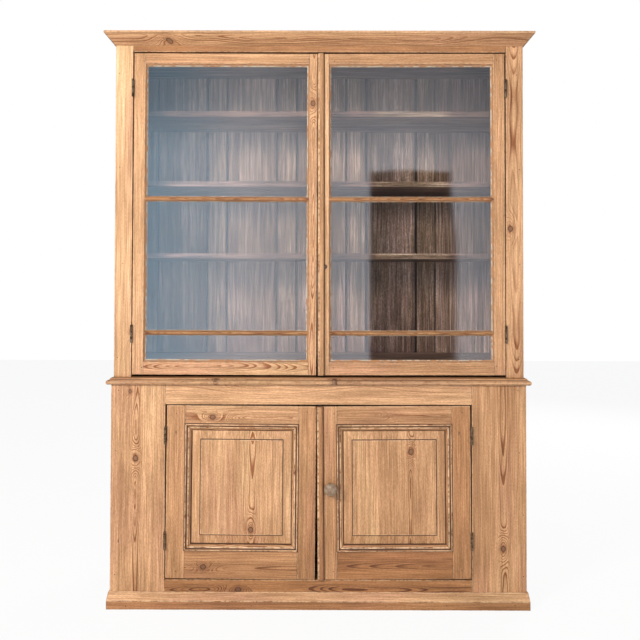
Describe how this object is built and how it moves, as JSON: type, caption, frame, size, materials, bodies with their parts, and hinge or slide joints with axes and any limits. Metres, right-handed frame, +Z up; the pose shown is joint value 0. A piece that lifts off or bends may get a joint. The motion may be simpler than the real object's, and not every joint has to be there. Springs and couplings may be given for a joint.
{
  "type": "pantry cabinet",
  "caption": "Two-part pine pantry cabinet: shelved upper case with glazed doors over a base cupboard with raised-panel doors, cornice, waist board and plinth.",
  "frame": {"origin": "middle of the bounding box's footprint, on the floor", "axes": "+Z up, +Y towards the back of the cabinet, +X to the right as seen from the front"},
  "size_m": [1.576, 0.442, 2.1],
  "materials": {
    "pine": "waxed old stripped pine, golden honey colour with darker knots",
    "stained_pine": "dark reddish-brown stain, matt, on rough pine boards",
    "glass": "old drawn sheet glass, slightly wavy",
    "iron": "worn dark iron",
    "knob_wood": "worn greyish-brown turned hardwood"
  },
  "bodies": {
    "case": {"upper_side_left": "pine", "upper_side_right": "pine", "upper_top_board": "stained_pine", "upper_bottom_board": "stained_pine", "upper_stile_left": "pine", "upper_stile_right": "pine", "upper_top_rail": "pine", "cornice_front": "pine", "cornice_left": "pine", "cornice_right": "pine", "upper_shelf_1": "stained_pine", "upper_shelf_2": "stained_pine", "upper_shelf_3": "stained_pine", "upper_back_boards": "stained_pine", "lower_side_left": "pine", "lower_side_right": "pine", "lower_bottom_board": "stained_pine", "lower_stile_left": "pine", "lower_stile_right": "pine", "lower_top_rail": "pine", "lower_bottom_rail": "pine", "waist_board": "pine", "plinth_front": "pine", "plinth_left": "pine", "plinth_right": "pine", "lower_shelf": "stained_pine", "lower_back_boards": "stained_pine", "upper_left_lower_hinge_case_leaf": "iron", "upper_left_higher_hinge_case_leaf": "iron", "upper_right_lower_hinge_case_leaf": "iron", "upper_right_higher_hinge_case_leaf": "iron", "lower_left_lower_hinge_case_leaf": "iron", "lower_left_higher_hinge_case_leaf": "iron", "lower_right_lower_hinge_case_leaf": "iron", "lower_right_higher_hinge_case_leaf": "iron"},
    "upper_left_door": {"upper_left_door_frame": "pine", "upper_left_glass": "glass", "upper_left_lower_hinge_door_leaf": "iron", "upper_left_higher_hinge_door_leaf": "iron"},
    "upper_right_door": {"upper_right_door_frame": "pine", "upper_right_glass": "glass", "upper_meeting_bead": "pine", "escutcheon": "iron", "lock_case": "iron", "upper_right_lower_hinge_door_leaf": "iron", "upper_right_higher_hinge_door_leaf": "iron"},
    "lower_left_door": {"lower_left_door_frame": "pine", "lower_left_panel": "pine", "lower_left_lower_hinge_door_leaf": "iron", "lower_left_higher_hinge_door_leaf": "iron"},
    "lower_right_door": {"lower_right_door_frame": "pine", "lower_right_panel": "pine", "lower_meeting_bead": "pine", "lower_right_lower_hinge_door_leaf": "iron", "lower_right_higher_hinge_door_leaf": "iron"},
    "upper_left_bolt": {"upper_left_bolt": "iron"},
    "lower_left_bolt": {"lower_left_bolt": "iron"},
    "lock_bolt": {"lock_bolt": "iron"},
    "turn_knob": {"knob": "knob_wood", "turn_catch": "iron"}
  },
  "joints": [
    {"name": "upper_left_door_swing", "type": "hinge", "parent": "case", "child": "upper_left_door", "pos_m": [-0.6873, -0.1589, 1.44], "axis": [0, 0, -1], "range_deg": [0, 165]},
    {"name": "upper_right_door_swing", "type": "hinge", "parent": "case", "child": "upper_right_door", "pos_m": [0.6873, -0.1589, 1.44], "axis": [0, 0, 1], "range_deg": [0, 165]},
    {"name": "lower_left_door_swing", "type": "hinge", "parent": "case", "child": "lower_left_door", "pos_m": [-0.5553, -0.1839, 0.43], "axis": [0, 0, -1], "range_deg": [0, 165]},
    {"name": "lower_right_door_swing", "type": "hinge", "parent": "case", "child": "lower_right_door", "pos_m": [0.5553, -0.1839, 0.43], "axis": [0, 0, 1], "range_deg": [0, 165]},
    {"name": "upper_left_bolt_slide", "type": "slide", "parent": "upper_left_door", "child": "upper_left_bolt", "axis": [0, 0, 1], "range_m": [0, 0.018]},
    {"name": "lower_left_bolt_slide", "type": "slide", "parent": "lower_left_door", "child": "lower_left_bolt", "axis": [0, 0, 1], "range_m": [0, 0.018]},
    {"name": "lock_bolt_slide", "type": "slide", "parent": "upper_right_door", "child": "lock_bolt", "axis": [-1, 0, 0], "range_m": [0, 0.014]},
    {"name": "knob_turn", "type": "hinge", "parent": "lower_right_door", "child": "turn_knob", "pos_m": [0.0444, -0.17, 0.43654], "axis": [0, -1, 0], "range_deg": [0, 90]}
  ]
}
